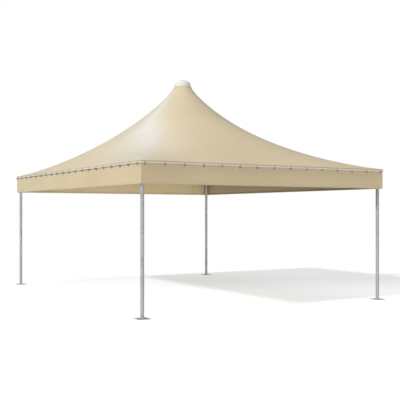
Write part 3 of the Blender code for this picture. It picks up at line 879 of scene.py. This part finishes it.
def build_turnbuckles(material):
    """Turnbuckles: a fork, a threaded bar, a nut, a round barrel with necked ends, a nut and a second bar."""
    end = np.array(BARREL_TAPER)
    barrel = np.concatenate([end + (0, BARREL_START), end[::-1] * (1, -1) + (0, BARREL_END)])
    shapes = [
        *fork_end(NECK_ENDS[0]),
        threaded(FORK_END, BARREL_START + OVERLAP / 2),
        nut(BARREL_START - NUT_GAP - NUT_THICK),
        turned(barrel, BARREL_SIDES),
        nut(BARREL_END + NUT_GAP),
        threaded(BARREL_END - OVERLAP / 2, TURNBUCKLE_END + OVERLAP),
    ]
    places = stay_frames()
    nodes = [f"turnbuckle_{name}" for name in CORNERS]
    shapes = [copies(shape, places) for shape in shapes]
    add_piece("fine_turnbuckles", shapes, material, nodes)


def twisted_rope(low, high):
    """Six strands twisted together, closed at both ends.

    r = R (v + (1 - v) sqrt|cos 3b|), with v the valley's share and b the angle among the strands. At height h
    the strands have turned by h / lay of a full turn.
    """
    rows = int((high - low) / ROPE_LAY * ROPE_ROWS)
    height = np.linspace(low, high, rows + 1)[:, None]
    angle = full_turn(ROPE_SIDES)
    round_strands = np.sqrt(np.abs(np.cos(STRANDS / 2 * angle)))
    r = ROPE_R * (STRAND_VALLEY + (1 - STRAND_VALLEY) * round_strands) + 0 * height
    run = np.concatenate([height[:1], height, height[-1:]])
    uv = np.stack([angle / math.tau + 0 * run, run + 0 * angle], axis=-1)
    return bar(r, angle + math.tau * height / ROPE_LAY, height, uv)


def swage(low, high):
    """A ferrule pressed on the rope, between two heights: tapered to the rope at the high one."""
    return turned(block(FERRULE_R, low, high, FERRULE_EDGE, FERRULE_TAPER), ROPE_SIDES)


def build_cables(rope, steel):
    """Cables: a wire rope between two swaged ends, from the turnbuckle's bar to a fork on the mast's foot."""
    places = stay_frames()
    nodes = [f"cable_{name}" for name in CORNERS]
    line = twisted_rope(TURNBUCKLE_END + FERRULE_LENGTH - OVERLAP,
                        STAY_LENGTH - FORK_END - FERRULE_LENGTH + OVERLAP)
    add_piece("wire_ropes", [copies(line, places)], rope, nodes)

    flip = np.diag((1.0, -1.0, -1.0, 1.0))
    flip[2, 3] = STAY_LENGTH
    inner_places = [place @ flip for place in places]
    inner_end = [*fork_end(NECK_ENDS[1]), swage(FORK_END - OVERLAP / 2, FORK_END + FERRULE_LENGTH)]
    shapes = [copies(shape, inner_places) for shape in inner_end]
    shapes.append(copies(swage(TURNBUCKLE_END, TURNBUCKLE_END + FERRULE_LENGTH), places))
    add_piece("rope_ends", shapes, steel, nodes)


def coated_membrane(name, light, dark, lap_axis, lap_width, lap_tint, paint_top_shade=False):
    """PVC-coated polyester, calendered and lacquered: a satin sheet over a plain weave.

    It gives the eye a smooth warm skin with a broad soft highlight, faint threads close to, slow clouds of
    tone, soft creases and a flattened band where two layers are welded. With the last flag set, painted
    shade makes it a little greyer and bluer below the cap, fading down the roof.
    """
    material, shader, add = new_material(name)
    place = add("TexCoord").outputs["Object"]
    along = add("UVMap", uv_map="UVMap")
    cloud = add("TexNoise", {"Vector": place, "Scale": 1 / TONE_CLOUD, "Detail": 3.0})
    fleck = add("TexNoise", {"Vector": place, "Scale": 1 / COATING_FLECK, "Detail": 4.0})
    tone = add("Math", {0: cloud, 1: fleck}, operation="ADD")
    tone = add("MapRange", {"Value": tone, "From Min": 0.75, "From Max": 1.25})
    colour = add("MixRGB", {"Fac": tone, "Color1": dark, "Color2": light})
    split = add("SeparateXYZ", {"Vector": along})
    lap = add("MapRange", {"Value": split.outputs[lap_axis], "From Min": lap_width,
                           "From Max": lap_width + WELD_RAMP, "To Min": 1.0, "To Max": 0.0})
    colour = add("MixRGB", {"Fac": lap, "Color1": colour, "Color2": lap_tint})
    # painted shade: darker and a little bluer below the cap, even to the first reach and gone by the second
    if paint_top_shade:
        top_shade = add("MapRange", {"Value": split.outputs["Y"], "From Min": TOP_SHADE_REACH[0],
                                "From Max": TOP_SHADE_REACH[1], "To Min": 1.0, "To Max": 0.0},
                   interpolation_type="SMOOTHSTEP")
        colour = add("MixRGB", {"Fac": top_shade, "Color1": colour, "Color2": "#f5f6fb"}, blend_type="MULTIPLY")
    gloss = add("MapRange", {"Value": fleck, "To Min": 0.46, "To Max": 0.58})

    per_metre = math.tau / 20 / THREAD  # a wave node's bands lie tau / 20 / scale apart
    warp, weft = [add("TexWave", {"Vector": along, "Scale": per_metre}, bands_direction=axis,
                      wave_profile="SIN").outputs["Fac"] for axis in "XY"]
    weave = add("Math", {0: warp, 1: weft}, operation="MULTIPLY")
    crease = add("TexNoise", {"Vector": place, "Scale": 1 / SOFT_CREASE, "Detail": 2.0, "Distortion": 0.6})
    soft = add("Bump", {"Height": crease, "Strength": 0.5, "Distance": 0.012})
    fine = add("Bump", {"Height": weave, "Strength": 0.4, "Distance": 0.00025, "Normal": soft})
    set_inputs(shader, {"Base Color": colour, "Roughness": gloss, "Normal": fine, "IOR": 1.5,
                        "Specular IOR Level": 0.5, "Coat Weight": 0.5, "Coat Roughness": 0.32})
    return material


def galvanised_steel(name, stretch=(1, 1, 1)):
    """Hot-dip galvanised steel: a zinc skin, crystallised in flakes, half dulled by a chalky grey patina.

    The flakes are 8 to 15 mm across, and the patina's patches 5 to 15 cm. A stretch draws them out on a tube.
    """
    material, shader, add = new_material(name)
    place = add("TexCoord").outputs["Object"]
    drawn = add("Mapping", {"Vector": place, "Scale": stretch})
    flakes = add("TexVoronoi", {"Vector": drawn, "Scale": 1 / SPANGLE}).outputs["Color"]
    flake = add("SeparateColor", {"Color": flakes})
    patch = add("TexNoise", {"Vector": drawn, "Scale": 1 / PATINA_PATCH, "Detail": 5.0, "Roughness": 0.6})
    tone = add("MapRange", {"Value": flake, "To Min": -0.16, "To Max": 0.16})
    tone = add("Math", {0: tone, 1: patch}, operation="ADD")
    colour = add("ValToRGB", {"Fac": tone})
    for stop, position, tint in zip(colour.color_ramp.elements, (0.25, 0.75), ("#acaeb0", "#d8d9da")):
        stop.position = position
        stop.color = hex_colour(tint)
    bare, rough = [add("MapRange", {"Value": tone, "From Min": 0.2, "From Max": 0.8,
                                    "To Min": low, "To Max": high})
                   for low, high in ((0.40, 0.66), (0.68, 0.48))]
    grain = add("TexNoise", {"Vector": place, "Scale": 1 / ZINC_GRAIN, "Detail": 2.0})
    facet = add("Bump", {"Height": flake.outputs[1], "Strength": 0.25, "Distance": 0.0003})
    fine = add("Bump", {"Height": grain, "Strength": 0.25, "Distance": 0.0002, "Normal": facet})
    set_inputs(shader, {"Base Color": colour, "Metallic": bare, "Roughness": rough, "Normal": fine})
    return material


def coated_aluminium(name):
    """Powder-coated aluminium: an even pale warm grey, satin, with the coat's ripple and a little dust."""
    material, shader, add = new_material(name)
    place = add("TexCoord").outputs["Object"]
    dust = add("TexNoise", {"Vector": place, "Scale": 1 / RAIL_DUST, "Detail": 5.0, "Roughness": 0.6})
    colour = add("MixRGB", {"Fac": dust, "Color1": "#d2cfcb", "Color2": "#c7c3be"})
    rough = add("MapRange", {"Value": dust, "To Min": 0.34, "To Max": 0.50})
    ripple = add("TexNoise", {"Vector": place, "Scale": 1 / POWDER_RIPPLE, "Detail": 1.0})
    bump = add("Bump", {"Height": ripple, "Strength": 0.15, "Distance": 0.0002})
    set_inputs(shader, {"Base Color": colour, "Roughness": rough, "Normal": bump, "IOR": 1.5,
                        "Specular IOR Level": 0.5})
    return material


def moulded_plastic(name, light, dark, roughness, grain_size):
    """Injection-moulded plastic: an even skin with an eggshell grain, slightly dulled where dust settles."""
    material, shader, add = new_material(name)
    place = add("TexCoord").outputs["Object"]
    dust = add("TexNoise", {"Vector": place, "Scale": 1 / PLASTIC_DUST, "Detail": 5.0, "Roughness": 0.6})
    colour = add("MixRGB", {"Fac": dust, "Color1": light, "Color2": dark})
    rough = add("MapRange", {"Value": dust, "To Min": roughness - 0.08, "To Max": roughness + 0.08})
    grain = add("TexNoise", {"Vector": place, "Scale": 1 / grain_size, "Detail": 1.0})
    bump = add("Bump", {"Height": grain, "Strength": 0.2, "Distance": 0.0002})
    set_inputs(shader, {"Base Color": colour, "Roughness": rough, "Normal": bump, "IOR": 1.49,
                        "Specular IOR Level": 0.5})
    return material


def braided_cord(name):
    """Elastic cord in a braided polyester sheath: mid grey, matt, with a fine diamond of crossing yarns."""
    material, shader, add = new_material(name)
    along = add("UVMap", uv_map="UVMap")
    waves = []
    for lean in (BRAID_TURNS, -BRAID_TURNS):
        turn = add("Mapping", {"Vector": along, "Scale": (lean, 1 / BRAID, 1.0)})
        dot = add("VectorMath", {0: turn, 1: (1.0, 1.0, 0.0)}, operation="DOT_PRODUCT")
        waves.append(add("Math", {0: dot.outputs["Value"], 1: 1.0}, operation="PINGPONG"))
    yarn = add("Math", {0: waves[0], 1: waves[1]}, operation="MAXIMUM")
    colour = add("MixRGB", {"Fac": yarn, "Color1": "#77756f", "Color2": "#a3a099"})
    bump = add("Bump", {"Height": yarn, "Strength": 0.5, "Distance": 0.0003})
    set_inputs(shader, {"Base Color": colour, "Normal": bump, "Roughness": 0.8, "Sheen Weight": 0.3,
                        "Sheen Roughness": 0.5})
    return material


def plated_metal(name, light, dark, roughness):
    """Plated metal: a thin bright skin that clouds a little, with fine wear in its roughness."""
    material, shader, add = new_material(name)
    place = add("TexCoord").outputs["Object"]
    cloud = add("TexNoise", {"Vector": place, "Scale": 1 / PLATING_CLOUD, "Detail": 4.0})
    wear = add("TexNoise", {"Vector": place, "Scale": 1 / PLATING_WEAR, "Detail": 3.0})
    colour = add("MixRGB", {"Fac": cloud, "Color1": dark, "Color2": light})
    rough = add("MapRange", {"Value": wear, "To Min": roughness - 0.08, "To Max": roughness + 0.12})
    set_inputs(shader, {"Base Color": colour, "Roughness": rough, "Metallic": 1.0})
    return material


def wire_rope(name):
    """Galvanised wire rope: dull zinc in a clouded tone, with fine diagonal wires in its strands."""
    material, shader, add = new_material(name)
    place = add("TexCoord").outputs["Object"]
    along = add("UVMap", uv_map="UVMap")
    turn = add("Mapping", {"Vector": along, "Scale": (WIRES, 1 / WIRE, 1.0)})
    lay = add("VectorMath", {0: turn, 1: (1.0, 1.0, 0.0)}, operation="DOT_PRODUCT")
    wires = add("Math", {0: lay.outputs["Value"], 1: 0.5}, operation="PINGPONG")
    dull = add("TexNoise", {"Vector": place, "Scale": 1 / ROPE_DULLING, "Detail": 4.0})
    colour = add("MixRGB", {"Fac": dull, "Color1": "#7d8185", "Color2": "#b4b7b9"})
    rough = add("MapRange", {"Value": dull, "To Min": 0.38, "To Max": 0.6})
    bump = add("Bump", {"Height": wires, "Strength": 0.6, "Distance": 0.0005})
    set_inputs(shader, {"Base Color": colour, "Roughness": rough, "Normal": bump, "Metallic": 1.0})
    return material


def build_tent():
    """Dress the frame: sheets, tubes, rails, ties, stays, small parts, and finishes for the kept solids."""
    roof = coated_membrane("roof_membrane", "#cbbc9a", "#c2b28f", "X", WELD_HALF, "#c7b895", paint_top_shade=True)
    valance = coated_membrane("valance_membrane", "#cabb99", "#c1b18e", "Y", HEM_DEPTH, "#c1b493")
    steel = galvanised_steel("galvanised_steel")
    stretches = ((ZINC_DRAWN, 1, 1), (1, ZINC_DRAWN, 1), (1, 1, ZINC_DRAWN))
    tubes = [galvanised_steel(f"galvanised_tube_{way}", stretch) for way, stretch in zip("xyz", stretches)]
    nylon = moulded_plastic("moulded_nylon", "#888682", "#7b7975", roughness=0.42, grain_size=0.0006)
    polyethylene = moulded_plastic("moulded_polyethylene", "#d3d1d0", "#c8c6c5", roughness=0.50,
                                   grain_size=0.0012)
    nickel = plated_metal("nickel_plate", "#cfcbc2", "#a9a59c", roughness=0.28)
    build_roof(roof)
    build_valance(valance)
    build_rails(coated_aluminium("powder_coated_aluminium"))
    build_ties(braided_cord("elastic_cord"), nylon, nickel)
    build_cap(polyethylene)
    build_tubes(tubes)
    build_bolts(plated_metal("zinc_plate", "#c3c6ca", "#9da0a3", roughness=0.34))
    build_welds(steel)
    build_turnbuckles(steel)
    build_cables(wire_rope("wire_rope"), steel)
    kept = [f"{part}_{name}" for part in ("base_plate", "corner_fitting") for name in CORNERS]
    for node in kept + ["mast_foot", "mast_head"]:
        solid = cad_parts[node]
        solid.data.materials.clear()
        solid.data.materials.append(steel)


def build_floor():
    """A plain pale floor just under the base plates."""
    material, shader, add = new_material("pale_floor")
    place = add("TexCoord").outputs["Object"]
    cloud = add("TexNoise", {"Vector": place, "Scale": 1 / FLOOR_CLOUD, "Detail": 2.0})
    colour = add("MixRGB", {"Fac": cloud, "Color1": "#b9b9ba", "Color2": "#bdbdbe"})
    seen = add("LightPath").outputs["Is Camera Ray"]
    depth = add("VectorMath", {0: place, 1: FLOOR_WAY}, operation="DOT_PRODUCT").outputs["Value"]
    # painted light: to the camera the floor glows more towards the front, which fades the tent's shadow there
    fade = add("MapRange", {"Value": depth, "From Max": FLOOR_FADE, "To Min": FLOOR_NEAR_GLOW,
                            "To Max": FLOOR_GLOW})
    glow = add("Math", {0: seen, 1: fade}, operation="MULTIPLY")
    set_inputs(shader, {"Base Color": colour, "Roughness": 1.0, "Specular IOR Level": 0.0,
                        "Emission Color": WHITE, "Emission Strength": glow})
    corners = np.array([(-1, -1), (1, -1), (1, 1), (-1, 1)]) * FLOOR_HALF
    mesh = bpy.data.meshes.new("floor")
    mesh.from_pydata([(x, y, FLOOR_Z) for x, y in corners.tolist()], [], [(0, 1, 2, 3)])
    mesh.materials.append(material)
    floor = bpy.data.objects.new("floor", mesh)
    bpy.context.scene.collection.objects.link(floor)


def add_light(name, kind, energy, travel, place=(0, 0, 10), **settings):
    """A light that shines along a direction. It isn't seen itself."""
    light = bpy.data.lights.new(name, kind)
    light.energy = energy
    for setting, value in settings.items():
        setattr(light, setting, value)
    lamp = bpy.data.objects.new(name, light)
    lamp.location = place
    lamp.rotation_euler = Vector(travel).to_track_quat("-Z", "Y").to_euler()
    lamp.visible_camera = False
    bpy.context.scene.collection.objects.link(lamp)
    return lamp


def build_lights():
    """A low sun from the left, two high softboxes behind, and low fills in front and under the roof."""
    sun = add_light("sun", "SUN", math.pi * SUN, SUN_TRAVEL, angle=SUN_SPREAD)
    sun.visible_glossy = False  # a low sun's glare on the satin roof would wash it out from the far side
    for name, (azimuth, rise, power, width, depth) in BOXES.items():
        azimuth, rise = np.radians((azimuth, rise))
        way = np.array((np.sin(azimuth) * np.cos(rise), np.cos(azimuth) * np.cos(rise), np.sin(rise)))
        add_light(name, "AREA", power, -way, BOX_AIM + BOX_AWAY * way, shape="RECTANGLE", size=width,
                  size_y=depth, color=hex_colour(BOX_TINT)[:3])
    fill = add_light("fill", "AREA", FILL_POWER, np.subtract(FILL_AIM, FILL_PLACE), FILL_PLACE,
                     shape="RECTANGLE", size=FILL_SIZE[0], size_y=FILL_SIZE[1])
    fill.visible_glossy = False
    add_light("under_fill", "AREA", UNDER_POWER, np.subtract(UNDER_AIM, UNDER_PLACE), UNDER_PLACE,
              shape="RECTANGLE", size=UNDER_SIZE[0], size_y=UNDER_SIZE[1], spread=UNDER_SPREAD,
              color=hex_colour(UNDER_TINT)[:3])


def build_studio():
    """A white studio: dimmer on one side and brighter overhead for the tent, plain white to the camera."""
    world = bpy.data.worlds.new("studio")
    bpy.context.scene.world = world
    world.use_nodes = True
    add = partial(add_node, world.node_tree)
    way = add("TexCoord").outputs["Generated"]
    side = add("VectorMath", {0: way, 1: DIM_WAY}, operation="DOT_PRODUCT").outputs["Value"]
    shade = add("MapRange", {"Value": side, "From Min": DIM_FROM[0], "From Max": DIM_FROM[1],
                             "To Min": STUDIO_BRIGHT, "To Max": STUDIO_DIM},
                interpolation_type="SMOOTHSTEP")
    up = add("SeparateXYZ", {"Vector": way}).outputs["Z"]
    high = add("MapRange", {"Value": up, "From Min": TOP_FROM[0], "From Max": TOP_FROM[1]},
               interpolation_type="SMOOTHSTEP")
    level = add("MapRange", {"Value": high, "To Min": shade, "To Max": STUDIO_TOP})
    tint = add("MixRGB", {"Fac": high, "Color1": WHITE, "Color2": TOP_TINT})
    seen = add("LightPath").outputs["Is Camera Ray"]
    tint = add("MixRGB", {"Fac": seen, "Color1": tint, "Color2": WHITE})
    strength = add("MapRange", {"Value": seen, "To Min": level, "To Max": STUDIO_SEEN})
    set_inputs(world.node_tree.nodes["Background"], {"Color": tint, "Strength": strength})


def build_camera():
    """The photo's viewpoint: a level camera at eye height, in front of the tent and to its left."""
    camera = bpy.data.cameras.new("camera")
    camera.sensor_width = SENSOR
    camera.lens = LENS
    camera.shift_x, camera.shift_y = SHIFT
    camera.clip_end = CLIP_END
    eye = bpy.data.objects.new("camera", camera)
    eye.location = EYE
    eye.rotation_euler = (math.radians(90), 0, EYE_TURN)
    bpy.context.scene.collection.objects.link(eye)
    bpy.context.scene.camera = eye


build_camera()
build_tent()
build_floor()
build_lights()
build_studio()
bpy.context.scene.view_settings.view_transform = "Standard"
